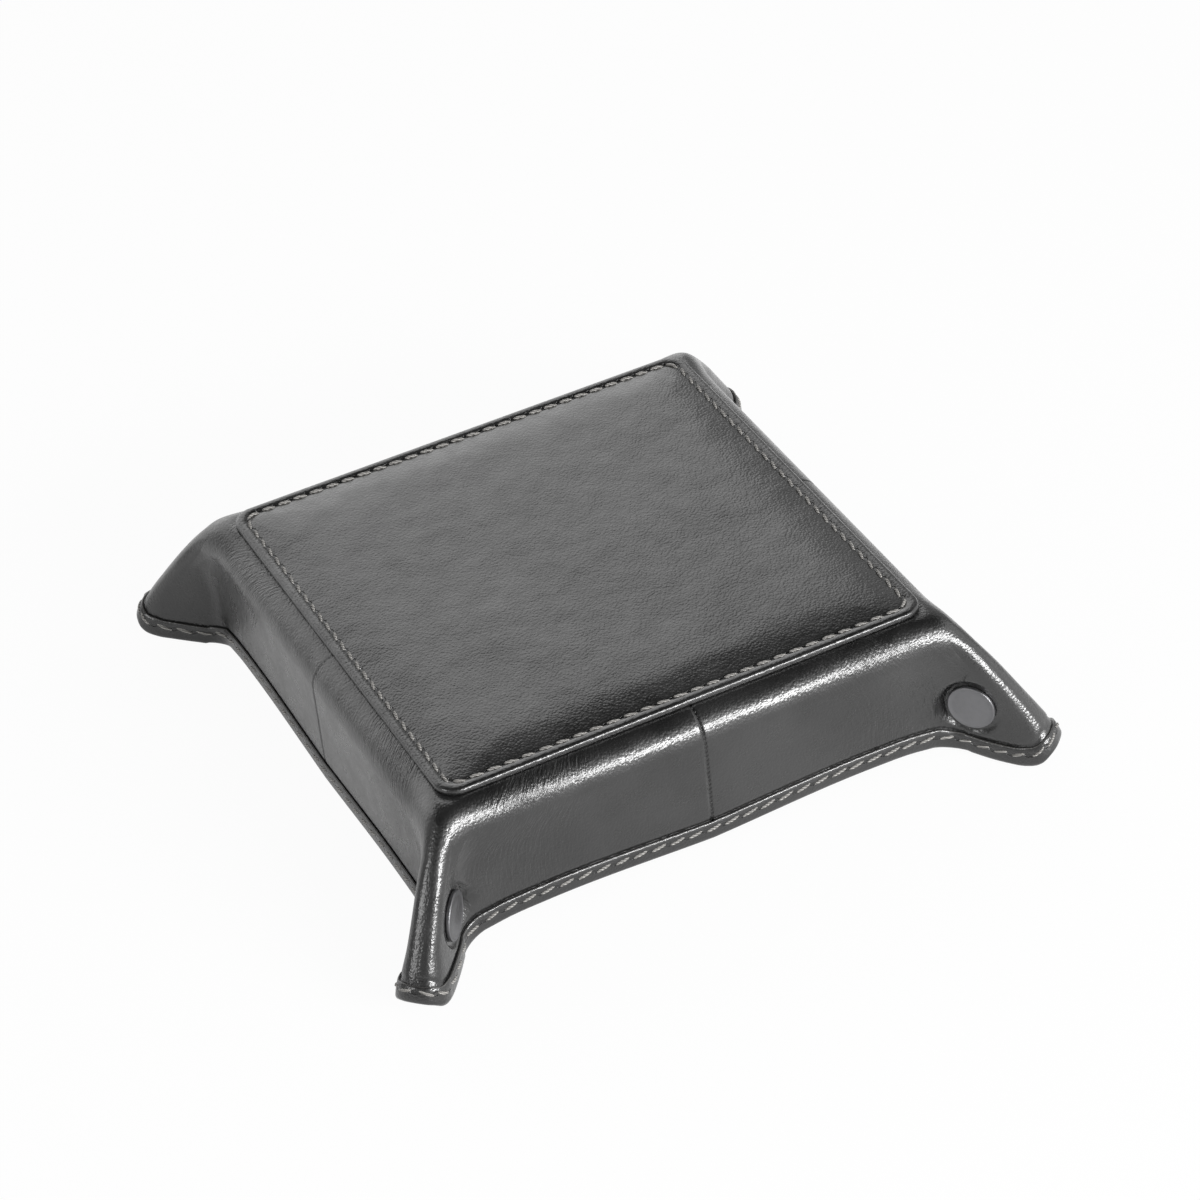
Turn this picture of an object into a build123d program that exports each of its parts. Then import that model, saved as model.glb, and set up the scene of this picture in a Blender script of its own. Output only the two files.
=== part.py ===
from build123d import *
import os
from math import cos, pi, radians, sin, sqrt

# Snap-corner valet tray in leather, standing upside down on its four pinched corners.
# Units are millimetres and +Z is up. The origin lies on the floor under the tray's centre.
# The padded sole faces up, the walls hang down, and the tray's mouth faces the floor.
# Each wall folds about its base edge. A pinched corner is one flap from each of its walls,
# and on the outer edge of each flap a half nose that meets the other half nose in the middle.

# Driving dimensions of the walls and the base
wall_outer_half = 71.2        # centre of the tray to the outer face of a wall
outer_leather = 1.0
board_thickness = 1.2
lining_thickness = 0.8
base_fold_radius = 8.0        # outside radius of the leather where it turns down

# Padded sole and what lies under it
panel_half = 65.0
panel_corner_radius = 5.5
panel_thickness = 2.2
panel_edge_fillet = 0.9
crown_height = 0.6
crown_foot_half = 59.0
crown_top_half = 55.0
crown_corner_radius = 6.0
padding_half = 54.0
padding_thickness = 1.4
padding_corner_radius = 4.0
base_board_setback = 1.5

# Thread of the sole
stitch_line_half = 62.0
stitch_pitch = 4.5
stitch_length = 3.2
stitch_width = 0.9
stitch_rise = 0.3

# Depths below the outer face of the base, down to the cut edge of the leather
rim_depth_middle = 35.7
rim_depth_shoulder = 34.1
rim_depth_turn = 34.9
rim_depth_corner = 37.0
rim_shoulder_place = 46.0     # distances of these points from the middle of the wall
rim_turn_place = 57.0
flap_rim_depth_crease = 37.6
flap_rim_depth_lowest = 39.4
flap_lowest_place = 15.0      # distance of the lowest point from the flap's crease
flap_rim_start_share = 6      # run for each step of fall, where a flap's rim leaves the crease
flap_rim_end_share = 2        # rise for each step of run, where it meets the ridge
nose_rim_depth = 32.2
nose_rim_sag = 1.4            # the rim hangs this much lower in the middle of the ear

# Pinched corner
corner_half_width = 3.2       # outer face of a flap from the corner's middle plane, at the crease
flare_angle = 5.5             # each flap opens away from the middle plane by this, in degrees
ear_top_depth = 6.0
wall_crease_setback = 0.8
flap_crease_setback = 0.6
nose_half_gap = 0.15          # from each half nose to the corner's middle plane
nose_bulge = 2.2              # the nose is rounded, this high over a straight line across it
nose_rim_bulge = 0.4          # it is nearly flat at its rim
nose_flatten_depth = 17.0
nose_reach = 6.0              # the cuts reach this far either side of the nose's plane

# Rim binding
binding_thickness = 0.6
binding_width = 5.0
nose_band_depth = 5.5         # measured down the depth of the nose
glue_line = 0.05
seam_gap = 0.2                # the two leather panels of a wall meet at its middle

# Wall board
wall_board_top_gap = 1.0
wall_board_rim_gap = 3.0
wall_board_end_gap = 6.0

# Snap fastener
snap_from_crease = 5.6
snap_depth = 24.8
cap_radius = 6.2
cap_thickness = 1.0
cap_sink = 0.5
cap_edge_bevel = 0.3
cap_recess_clearance = 0.2
barrel_radius = 1.5
barrel_hole_clearance = 0.1
rolled_rim_radius = 2.1
rolled_rim_thickness = 0.2
socket_radius = 4.6
socket_thickness = 1.7
socket_web = 0.3
socket_cavity_radius = 2.8
stud_flange_radius = 4.4
stud_flange_thickness = 0.5
stud_neck_radius = 1.75
stud_head_radius = 2.0
stud_height = 2.25            # above its flange
stud_head_height = 0.9
post_flange_radius = 4.0
post_flange_thickness = 0.4
post_stem_radius = 1.1
post_stem_reach = 1.9         # past the flap's inner face
post_clearance = 0.1
quarter_turn = 90             # from one wall to the next, in degrees

# Sizes that follow from the ones above
wall_thickness = outer_leather + board_thickness + lining_thickness
flap_thickness = outer_leather + lining_thickness
lining_depth = outer_leather + board_thickness
standing_height = flap_rim_depth_lowest + binding_thickness
base_flat_half = wall_outer_half - base_fold_radius
fold_centre_height = standing_height - base_fold_radius
fold_inner_radius = base_fold_radius - wall_thickness
crease_place = wall_outer_half - corner_half_width * sqrt(2)
crease_reach = wall_outer_half * sqrt(2) - corner_half_width
flare = radians(flare_angle)
panel_top_height = standing_height + panel_thickness

# The bend round the base uses up less leather than a sharp corner would, so the ear's ridges
# start this much below the base. The fold line lies where that bend unrolls flat.
fold_length = (base_fold_radius - outer_leather / 2) * pi / 2
ridge_start_depth = 2 * base_fold_radius - fold_length
ridge_slope_share = 1 / (1 + sqrt(2) * sin(flare))
nose_end_depth = nose_rim_depth + 2 * nose_rim_sag
fold_axis_place = base_flat_half + fold_length / 2
fold_axis_height = fold_centre_height + fold_length / 2

up = Vector(0, 0, 1)


def outward(turn):
    return Vector(cos(radians(turn)), sin(radians(turn)), 0)


def wall_plane(turn):
    """Outer face of a wall: X runs along the wall, Y is up, zero height is the base."""
    out = outward(turn)
    along = outward(turn + quarter_turn)
    return Plane(origin=out * wall_outer_half + up * standing_height, x_dir=along, z_dir=out)


def flap_directions(turn, end):
    """Place of a flap's crease, its run away from the crease and its outward normal."""
    out = outward(turn)
    along = outward(turn + quarter_turn) * end
    bend = radians(45) + flare
    crease = out * wall_outer_half + along * crease_place + up * standing_height
    run = along * cos(bend) + out * sin(bend)
    normal = out * cos(bend) - along * sin(bend)
    return crease, run, normal


def flap_plane(turn, end):
    """Outer face of a flap: X is end times the distance from the crease, Y is up."""
    crease, run, normal = flap_directions(turn, end)
    return Plane(origin=crease, x_dir=run * end, z_dir=normal)


def ridge_place(depth):
    """Distance of a flap's ridge from its crease, at a depth."""
    return ridge_slope_share * (depth - ridge_start_depth)


def nose_half_width(depth):
    """Distance of the ridge from the corner's middle plane, at a depth."""
    return corner_half_width + ridge_place(depth) * sin(flare)


def nose_plane(corner_turn):
    """Outer face of a nose: X runs across it and Y climbs it, from where the ridges start."""
    diagonal = outward(corner_turn)
    origin = diagonal * crease_reach + up * (standing_height - ridge_start_depth)
    return Plane(origin=origin, x_dir=outward(corner_turn + quarter_turn), z_dir=nose_normal(corner_turn))


def nose_normal(corner_turn):
    return outward(corner_turn) + up * ridge_slope_share * cos(flare)


def ridge_plane(turn, end):
    """Plane that halves the bend between a flap and its half nose, facing the flap."""
    crease, run, normal = flap_directions(turn, end)
    ridge = (run * ridge_slope_share - up).normalized()
    flap_side = (run + up * ridge_slope_share).normalized() * -1
    corner_turn = turn + 45 * end
    to_middle = outward(corner_turn + quarter_turn) * end
    across = nose_normal(corner_turn).normalized().cross(ridge)
    nose_side = across if across.dot(to_middle) > 0 else across * -1
    start = crease - up * ridge_start_depth
    return Plane(origin=start, x_dir=ridge, z_dir=flap_side - nose_side)


def wall_rim(drop):
    """Lower edge of a wall, lowered by drop, from one crease to the other."""
    half = [
        (rim_shoulder_place, -rim_depth_shoulder - drop),
        (rim_turn_place, -rim_depth_turn - drop),
        (crease_place - wall_crease_setback, -rim_depth_corner - drop),
    ]
    return [(-x, y) for x, y in reversed(half)] + [(0, -rim_depth_middle - drop)] + half


def wall_outline(drop=0):
    """Face of a wall from the end of the base's bend down to its rim."""
    rim = wall_rim(drop)
    with BuildLine() as outline:
        Spline(*rim)
        Polyline(rim[-1], (rim[-1][0], -base_fold_radius), (rim[0][0], -base_fold_radius), rim[0])
    return make_face(outline.edges())


def flap_rim_lines(end, drop):
    """Lower edge of a flap: down to its lowest point, then up to the ridge."""
    crease_end = (end * flap_crease_setback, -flap_rim_depth_crease - drop)
    lowest = (end * flap_lowest_place, -flap_rim_depth_lowest - drop)
    ridge_end = (end * ridge_place(nose_rim_depth + drop), -nose_rim_depth - drop)
    Spline(crease_end, lowest, tangents=[(end * flap_rim_start_share, -1), (end, 0)])
    Spline(lowest, ridge_end, tangents=[(end, 0), (end, flap_rim_end_share)])
    return crease_end, ridge_end


def flap_outline(end, drop=0):
    """Face of a flap from its top down to its rim."""
    with BuildLine() as outline:
        crease_end, ridge_end = flap_rim_lines(end, drop)
        top_ridge = (end * ridge_place(ear_top_depth), -ear_top_depth)
        top_crease = (end * flap_crease_setback, -ear_top_depth)
        Polyline(ridge_end, top_ridge, top_crease, crease_end)
    return make_face(outline.edges())


def flap_band_outline(end):
    """Binding on the rim of a flap, reaching below the leather by its own thickness."""
    band_depth = nose_rim_depth - nose_band_depth
    with BuildLine() as outline:
        crease_end, ridge_end = flap_rim_lines(end, binding_thickness)
        band_ridge = (end * ridge_place(band_depth), -band_depth)
        band_lowest = (end * flap_lowest_place, crease_end[1] + binding_width)
        band_crease = (crease_end[0], crease_end[1] + binding_width)
        Line(ridge_end, band_ridge)
        ridge_way = (-end, -flap_rim_end_share)
        crease_way = (-end * flap_rim_start_share, 1)
        Spline(band_ridge, band_lowest, band_crease, tangents=[ridge_way, crease_way])
        Line(band_crease, crease_end)
    return make_face(outline.edges())


def slope_run(depth):
    """Distance down the slope of a nose from where its ridges start, at a depth."""
    return (depth - ridge_start_depth) * sqrt(1 + (ridge_slope_share * cos(flare)) ** 2)


def nose_bulge_at(depth):
    flattened_share = max(0, depth - nose_flatten_depth) / (nose_end_depth - nose_flatten_depth)
    return nose_bulge + (nose_rim_bulge - nose_bulge) * flattened_share


def nose_section(corner_turn, side, depth, rise, thickness, edge_gap):
    """Section of a half nose at a depth; side is 1 or -1, rise is how proud it stands."""
    front = nose_plane(corner_turn)
    origin = front.origin - front.y_dir * slope_run(depth)
    half = nose_half_width(depth)
    bulge = nose_bulge_at(depth)
    radius = (half**2 + bulge**2) / (2 * bulge)

    def point(place, lift):
        return (side * place, bulge - radius + sqrt(radius**2 - place**2) + lift)

    places = (nose_half_gap, half / 2, half - edge_gap)
    outer = [point(place, rise) for place in places]
    inner = [point(place, rise - thickness) for place in places]
    with BuildSketch(Plane(origin=origin, x_dir=front.x_dir, z_dir=front.y_dir * -1)) as section:
        with BuildLine():
            ThreePointArc(*outer)
            Line(outer[-1], inner[-1])
            ThreePointArc(*reversed(inner))
            Line(inner[0], outer[0])
        make_face()
    return section.sketch


def nose_outline(side, drop):
    """Half of a nose seen square on, cut along its rim, which sags towards the middle."""
    top = -slope_run(ear_top_depth)
    rim = -slope_run(nose_rim_depth + drop)
    middle = rim - nose_rim_sag
    half = nose_half_width(nose_rim_depth + drop)
    wide = side * nose_half_width(nose_end_depth)
    with BuildLine() as outline:
        Spline((side * half, rim), (0, middle), tangents=[(-side, -1), (-side, 0)])
        Polyline((0, middle), (0, top), (wide, top), (wide, rim), (side * half, rim))
    return make_face(outline.edges())


def save(piece, name):
    piece.part.label = name
    export_step(piece.part, f"parts/{name}.step")


os.makedirs("parts", exist_ok=True)

# Sole panel: a flat border with a rounded edge, and a low crowned field over the padding
with BuildPart() as base_panel:
    with BuildSketch(Plane.XY.offset(standing_height)):
        RectangleRounded(2 * panel_half, 2 * panel_half, panel_corner_radius)
    extrude(amount=panel_thickness)
    fillet(base_panel.faces().sort_by(Axis.Z)[-1].edges(), panel_edge_fillet)
    with BuildSketch(Plane.XY.offset(panel_top_height)):
        RectangleRounded(2 * crown_foot_half, 2 * crown_foot_half, crown_corner_radius)
    with BuildSketch(Plane.XY.offset(panel_top_height + crown_height)):
        RectangleRounded(2 * crown_top_half, 2 * crown_top_half, crown_corner_radius)
    loft()
    with BuildSketch(Plane.XY.offset(standing_height)):
        RectangleRounded(2 * padding_half, 2 * padding_half, padding_corner_radius)
    extrude(amount=padding_thickness, mode=Mode.SUBTRACT)
save(base_panel, "base_panel")

# Foam that lifts the middle of the sole
with BuildPart() as base_padding:
    with BuildSketch(Plane.XY.offset(standing_height)):
        RectangleRounded(2 * padding_half, 2 * padding_half, padding_corner_radius)
    extrude(amount=padding_thickness)
save(base_padding, "base_padding")

# Thread round the border of the sole, one small solid for each stitch
stitch_count = int(2 * stitch_line_half / stitch_pitch)
stitch_step = 2 * stitch_line_half / stitch_count
with BuildPart() as base_stitching:
    with BuildSketch(Plane.XY.offset(panel_top_height)):
        for index in range(stitch_count):
            place = -stitch_line_half + stitch_step * (index + 0.5)
            with Locations((place, stitch_line_half), (place, -stitch_line_half)):
                SlotOverall(stitch_length, stitch_width)
            with Locations((stitch_line_half, place), (-stitch_line_half, place)):
                SlotOverall(stitch_length, stitch_width, rotation=quarter_turn)
    extrude(amount=stitch_rise)
save(base_stitching, "base_stitching")

# Flat layers of the base: outer leather, board and lining
layers = [
    ("base_leather", 0, outer_leather, base_flat_half),
    ("base_board", outer_leather, board_thickness, base_flat_half - base_board_setback),
    ("base_lining", lining_depth, lining_thickness, base_flat_half),
]
for name, depth, thickness, half in layers:
    with BuildPart() as layer:
        with BuildSketch(Plane.XY.offset(standing_height - depth)):
            Rectangle(2 * half, 2 * half)
        extrude(amount=-thickness)
    save(layer, name)

# Ring of leather that turns down all round the base, with a domed corner at each end
with BuildPart() as fold_ring:
    for turn in (0, 90, 180, 270):
        out = outward(turn)
        along = outward(turn + quarter_turn)
        start = out * base_flat_half - along * base_flat_half + up * fold_centre_height
        with BuildSketch(Plane(origin=start, x_dir=out, z_dir=along * -1)) as section:
            with BuildLine():
                CenterArc((0, 0), base_fold_radius, 0, quarter_turn)
                Line((0, base_fold_radius), (0, fold_inner_radius))
                CenterArc((0, 0), fold_inner_radius, 0, quarter_turn)
                Line((fold_inner_radius, 0), (base_fold_radius, 0))
            make_face()
        extrude(section.sketch, amount=-2 * base_flat_half)
        revolve(section.sketch, axis=Axis(start, up * -1), revolution_arc=quarter_turn)
save(fold_ring, "fold_ring")

walls = {"front": -90, "right": 0, "back": 90, "left": 180}

for wall, turn in walls.items():
    plane = wall_plane(turn)

    # Outer leather: two panels that meet at the seam in the middle of the wall
    with BuildPart() as wall_leather:
        with BuildSketch(plane):
            add(wall_outline())
            with Locations((0, -rim_depth_middle / 2)):
                Rectangle(seam_gap, 2 * rim_depth_middle, mode=Mode.SUBTRACT)
        extrude(amount=-outer_leather)
    save(wall_leather, f"{wall}_wall_leather")

    # Stiffener between leather and lining
    board_top = base_fold_radius + wall_board_top_gap
    board_rim = rim_depth_shoulder - wall_board_rim_gap
    board_half = crease_place - wall_board_end_gap
    with BuildPart() as wall_board:
        with BuildSketch(plane.offset(-outer_leather)):
            with Locations((0, -(board_top + board_rim) / 2)):
                Rectangle(2 * board_half, board_rim - board_top)
        extrude(amount=-board_thickness)
    save(wall_board, f"{wall}_wall_board")

    with BuildPart() as wall_lining:
        with BuildSketch(plane.offset(-lining_depth)):
            add(wall_outline())
        extrude(amount=-lining_thickness)
    save(wall_lining, f"{wall}_wall_lining")

    # Binding folded round the rim
    with BuildPart() as wall_binding:
        with BuildSketch(plane.offset(binding_thickness)):
            rim = wall_rim(binding_thickness)
            with BuildLine():
                Spline(*rim)
                Line(rim[-1], (rim[-1][0], rim[-1][1] + binding_width))
                Spline(*[(x, y + binding_width) for x, y in reversed(rim)])
                Line((rim[0][0], rim[0][1] + binding_width), rim[0])
            make_face()
        extrude(amount=-wall_thickness - 2 * binding_thickness)
        with BuildSketch(plane):
            add(wall_outline())
        extrude(amount=-wall_thickness, mode=Mode.SUBTRACT)
    save(wall_binding, f"{wall}_wall_binding")

# Each corner joins a wall that carries a snap cap to a wall that carries the stud.
# Seen from above, a wall's end is 1 where it is passed last going anticlockwise, or else -1.
corners = {
    "front_right": {"cap": (-90, 1), "stud": (0, -1), "turn": -45},
    "front_left": {"cap": (-90, -1), "stud": (-180, 1), "turn": -135},
    "back_right": {"cap": (90, -1), "stud": (0, 1), "turn": 45},
    "back_left": {"cap": (90, 1), "stud": (180, -1), "turn": 135},
}

for corner, sides in corners.items():
    for side in ("cap", "stud"):
        turn, end = sides[side]
        plane = flap_plane(turn, end)
        ridge = ridge_plane(turn, end)
        snap_place = (end * snap_from_crease, -snap_depth)

        # Flap and its stretch of binding, with the holes that its half of the snap needs
        with BuildPart() as flap:
            with BuildSketch(plane.offset(binding_thickness)):
                add(flap_band_outline(end))
            extrude(amount=-flap_thickness - 2 * binding_thickness)
            with BuildSketch(plane.offset(glue_line)):
                add(flap_outline(end, glue_line))
            extrude(amount=-flap_thickness - 2 * glue_line, mode=Mode.SUBTRACT)
            with BuildSketch(plane):
                add(flap_outline(end))
            extrude(amount=-flap_thickness)
            split(bisect_by=ridge, keep=Keep.TOP)
            if side == "cap":
                with BuildSketch(plane):
                    with Locations(snap_place):
                        Circle(cap_radius + cap_recess_clearance)
                extrude(amount=-cap_sink, mode=Mode.SUBTRACT)
                with BuildSketch(plane):
                    with Locations(snap_place):
                        Circle(barrel_radius + barrel_hole_clearance)
                extrude(amount=-flap_thickness, mode=Mode.SUBTRACT)
            else:
                with BuildSketch(plane.offset(post_flange_thickness - outer_leather)):
                    with Locations(snap_place):
                        Circle(post_flange_radius + post_clearance)
                extrude(amount=-post_flange_thickness, mode=Mode.SUBTRACT)
                with BuildSketch(plane.offset(-outer_leather)):
                    with Locations(snap_place):
                        Circle(post_stem_radius + post_clearance)
                extrude(amount=-lining_thickness, mode=Mode.SUBTRACT)
        save(flap, f"{corner}_{side}_flap")

        # Half nose of leather, and its stretch of binding
        corner_turn = sides["turn"]
        band_depth = nose_rim_depth - nose_band_depth
        front = nose_plane(corner_turn)
        with BuildPart() as nose_leather:
            for depth in (ear_top_depth, nose_flatten_depth, band_depth, nose_end_depth):
                add(nose_section(corner_turn, -end, depth, 0, flap_thickness, 0))
            loft(ruled=True)
            with BuildSketch(front):
                add(nose_outline(-end, 0))
            extrude(amount=nose_reach, both=True, mode=Mode.INTERSECT)
            split(bisect_by=ridge, keep=Keep.BOTTOM)
        with BuildPart() as nose_binding:
            for depth in (band_depth, nose_end_depth):
                rise = binding_thickness
                add(nose_section(corner_turn, -end, depth, rise, rise - glue_line, glue_line))
            loft(ruled=True)
            with BuildSketch(front):
                add(nose_outline(-end, binding_thickness))
            extrude(amount=nose_reach, both=True, mode=Mode.INTERSECT)
            split(bisect_by=ridge, keep=Keep.BOTTOM)
        with BuildPart() as nose:
            add(nose_leather.part)
            add(nose_binding.part)
        save(nose, f"{corner}_{side}_nose")

    # Snap: the cap with its barrel, and the socket behind the flap
    turn, end = sides["cap"]
    plane = flap_plane(turn, end)
    snap_place = (end * snap_from_crease, -snap_depth)
    with BuildPart() as snap_cap:
        with BuildSketch(plane.offset(-cap_sink)):
            with Locations(snap_place):
                Circle(cap_radius)
        extrude(amount=cap_thickness - cap_edge_bevel)
        with BuildSketch(plane.offset(cap_thickness - cap_sink - cap_edge_bevel)):
            with Locations(snap_place):
                Circle(cap_radius)
        extrude(amount=cap_edge_bevel, taper=45)
        with BuildSketch(plane.offset(-cap_sink)):
            with Locations(snap_place):
                Circle(barrel_radius)
        extrude(amount=cap_sink - flap_thickness - socket_web)
        with BuildSketch(plane.offset(-flap_thickness - socket_web)):
            with Locations(snap_place):
                Circle(rolled_rim_radius)
        extrude(amount=-rolled_rim_thickness)
    save(snap_cap, f"{corner}_snap_cap")

    with BuildPart() as snap_socket:
        with BuildSketch(plane.offset(-flap_thickness)):
            with Locations(snap_place):
                Circle(socket_radius)
                Circle(barrel_radius + barrel_hole_clearance, mode=Mode.SUBTRACT)
        extrude(amount=-socket_thickness)
        with BuildSketch(plane.offset(-flap_thickness - socket_web)):
            with Locations(snap_place):
                Circle(socket_cavity_radius)
        extrude(amount=socket_web - socket_thickness, mode=Mode.SUBTRACT)
    save(snap_socket, f"{corner}_snap_socket")

    # Stud on the facing flap, held by a post whose flange lies inside the leather
    turn, end = sides["stud"]
    plane = flap_plane(turn, end)
    snap_place = (end * snap_from_crease, -snap_depth)
    inner_face = plane.offset(-flap_thickness)
    with BuildPart() as snap_stud:
        with BuildSketch(inner_face):
            with Locations(snap_place):
                Circle(stud_flange_radius)
        extrude(amount=-stud_flange_thickness)
        with BuildSketch(inner_face.offset(-stud_flange_thickness)):
            with Locations(snap_place):
                Circle(stud_neck_radius)
        extrude(amount=-stud_height)
        with BuildSketch(inner_face.offset(-stud_flange_thickness - stud_height)):
            with Locations(snap_place):
                Circle(stud_head_radius)
        extrude(amount=stud_head_height)
        with BuildSketch(inner_face):
            with Locations(snap_place):
                Circle(post_stem_radius + post_clearance)
        extrude(amount=-post_stem_reach, mode=Mode.SUBTRACT)
    save(snap_stud, f"{corner}_snap_stud")

    with BuildPart() as snap_post:
        with BuildSketch(plane.offset(post_flange_thickness - outer_leather)):
            with Locations(snap_place):
                Circle(post_flange_radius)
        extrude(amount=-post_flange_thickness)
        with BuildSketch(plane.offset(-outer_leather)):
            with Locations(snap_place):
                Circle(post_stem_radius)
        extrude(amount=-lining_thickness - post_stem_reach + post_clearance)
    save(snap_post, f"{corner}_snap_post")

# Places and angles that the joints use
crease, run, normal = flap_directions(0, 1)
print("standing height", round(standing_height, 4), "panel top", round(panel_top_height, 4))
print("fold axis place and height", round(fold_axis_place, 4), round(fold_axis_height, 4))
print("crease place", round(crease_place, 4), "wall outer half", wall_outer_half)
print("ridge start height", round(standing_height - ridge_start_depth, 4))
print("ridge slope share", round(ridge_slope_share, 6))
print("flap bend", round(45 + flare_angle, 4))
print("half nose bend", round(normal.get_angle(nose_normal(45)), 4))
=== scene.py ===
# %% [markdown]
# A black leather valet tray lies upside down on a white table. It stands on its four pinched
# ears and shows its stitched sole, its walls and the snap caps that hold its corners.
# The construction is already made at its real size. This lesson adds what the eye reads as
# leather: rounded folds, a bound rim, thread, grain and gloss.

# %% Load the construction
import math
import random

import bmesh
import bpy
import numpy as np
from mathutils import Matrix, Vector


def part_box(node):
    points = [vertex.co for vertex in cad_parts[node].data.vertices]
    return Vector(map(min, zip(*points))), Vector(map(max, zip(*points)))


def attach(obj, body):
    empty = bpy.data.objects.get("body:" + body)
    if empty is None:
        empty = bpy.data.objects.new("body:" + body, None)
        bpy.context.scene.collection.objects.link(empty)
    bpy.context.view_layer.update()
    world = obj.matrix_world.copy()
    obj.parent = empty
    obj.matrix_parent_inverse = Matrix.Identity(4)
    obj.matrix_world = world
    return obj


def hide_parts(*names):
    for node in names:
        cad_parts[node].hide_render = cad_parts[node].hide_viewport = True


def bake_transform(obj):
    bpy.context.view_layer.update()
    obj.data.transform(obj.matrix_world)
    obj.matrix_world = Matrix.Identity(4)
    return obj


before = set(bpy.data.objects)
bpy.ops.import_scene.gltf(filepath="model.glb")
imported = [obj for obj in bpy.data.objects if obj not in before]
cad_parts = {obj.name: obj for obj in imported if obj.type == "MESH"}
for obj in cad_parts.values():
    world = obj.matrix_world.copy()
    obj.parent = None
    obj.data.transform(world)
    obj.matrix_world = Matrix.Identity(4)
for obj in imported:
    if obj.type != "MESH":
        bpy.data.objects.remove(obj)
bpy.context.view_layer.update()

random.seed(7)
bpy.context.scene.view_settings.view_transform = "Standard"
bpy.ops.object.select_all(action="DESELECT")

# %% [markdown]
# All sizes are real ones, in millimetres, and are turned to metres only when a mesh is made.
# The height of the base and the place of the walls are read from the construction.

# %% Sizes of the tray
MM = 0.001
ROOT2 = math.sqrt(2)
base_low, base_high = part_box("base_leather")
wall_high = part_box("right_wall_leather")[1]
base_height, wall_place = base_high.z / MM, wall_high.x / MM
fold_radius = base_height - wall_high.z / MM
flat_half = wall_place - fold_radius
panel_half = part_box("base_panel")[1].x / MM
outer_leather = base_high.z / MM - base_low.z / MM
laminate = base_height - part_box("base_lining")[0].z / MM
flap_laminate = 1.8
flare_turn = math.radians(50.5)
print("base height", round(base_height, 3), "wall place", round(wall_place, 3))

# %% [markdown]
# The camera stands where the photograph was taken from. Its place was worked out from the
# square of stitches on the sole and the upright folds, so the pieces fall on the same pixels.

# %% Camera
camera_place = (-307.43, -739.37, 608.53)
camera_azimuth, camera_elevation, camera_roll = -23.06, 37.87, -6.215
focal_pixels, frame_pixels, sensor_width = 4042.8, 1200, 36.0
stitch_height = base_height + 2.2


def camera_axes():
    """Right, up and back of the camera."""
    a, e, r = (math.radians(x) for x in (camera_azimuth, camera_elevation, camera_roll))
    back = Vector((math.sin(a) * math.cos(e), -math.cos(a) * math.cos(e), math.sin(e)))
    right = Vector((math.cos(a), math.sin(a), 0))
    above = back.cross(right)
    turned_right = right * math.cos(r) + above * math.sin(r)
    turned_up = above * math.cos(r) - right * math.sin(r)
    return turned_right, turned_up, back


camera_data = bpy.data.cameras.new("camera")
camera_data.sensor_width = sensor_width
camera_data.lens = focal_pixels / frame_pixels * sensor_width
camera_data.clip_start = 0.05
camera_object = bpy.data.objects.new("camera", camera_data)
bpy.context.collection.objects.link(camera_object)
place = Vector(camera_place) * MM + Vector((0, 0, stitch_height * MM))
turned = Matrix(camera_axes()).transposed().to_4x4()
camera_object.matrix_world = Matrix.Translation(place) @ turned
bpy.context.scene.camera = camera_object
print("lens", round(camera_data.lens, 2), "mm")

# %% [markdown]
# Leather is one sheet that turns down over the base, runs down the wall, turns outwards at the
# crease of each corner, and closes round the nose of the ear. A box with bevels would miss how
# these flow into each other, so the sheet is drawn as a family of level sections: at each depth
# below the base, a line runs along the wall, round the crease, along the flap and round the nose.

# %% The level section of the leather
# Depths are measured down from the outer face of the base. The nose reaches this far out,
# along the diagonal, as measured on the silhouette of the ears.
nose_depths = (0.0, 1.3, 4.4, 7.8, 11.9, 16.3, 21.0, 25.8, 30.2, 33.8, 40.0)
nose_reaches = (91.2, 96.2, 99.9, 103.4, 107.1, 110.8, 114.6, 118.4, 121.5, 123.4, 125.2)
nose_power, nose_share, slope_step = 2 / 2.6, 0.75, 0.2
ear_depths = (0.0, 6.0, 14.0, 22.0, 26.0, 30.0, 34.0, 40.0)
ear_half_widths = (3.3, 3.4, 3.6, 3.9, 4.2, 4.9, 5.7, 6.2)
ear_round = 3.3
# The crease turns softly under the base, sharply beside the snap, and softly again at the rim.
crease_half_width, crease_share = 3.2, 0.8
crease_depths = (0.0, 4.0, 8.0, 14.0, 20.0, 30.0, 35.0, 40.0)
crease_radii = (24.0, 23.0, 18.0, 11.0, 7.0, 7.0, 10.0, 12.0)
flap_hump, hump_depth = 0.3, 12.0
# No two ears are pinched alike: how far each leans out, and lifts its ridge and its tip.
ears = {"front_right": (0.0, 0.1, 0.4), "front_left": (-0.9, 0.7, 0.2),
        "back_right": (0.8, 0.2, 0.6), "back_left": (-1.0, 2.1, 2.0)}
lean_depth, lean_power, lean_most = 36.0, 1.5, 1.2
ear = {}


def choose_ear(corner):
    ear["lean"], ear["ridge_lift"], ear["tip_lift"] = ears[corner]


def ease(t):
    """From 0 to 1, starting and ending softly."""
    return t * t * (3 - 2 * t)


def smooth_curve(x, places, values):
    """A smooth curve through a few points, which never overshoots much."""
    x, places, values = (np.asarray(given, float) for given in (x, places, values))
    slopes = np.gradient(values, places)
    index = np.clip(np.searchsorted(places, x) - 1, 0, len(places) - 2)
    step = places[index + 1] - places[index]
    t = np.clip((x - places[index]) / step, 0, 1)
    low, high = values[index], values[index + 1]
    rise_low, rise_high = slopes[index] * step, slopes[index + 1] * step
    return ((2 * t**3 - 3 * t**2 + 1) * low + (t**3 - 2 * t**2 + t) * rise_low
            + (3 * t**2 - 2 * t**3) * high + (t**3 - t**2) * rise_high)


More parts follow.
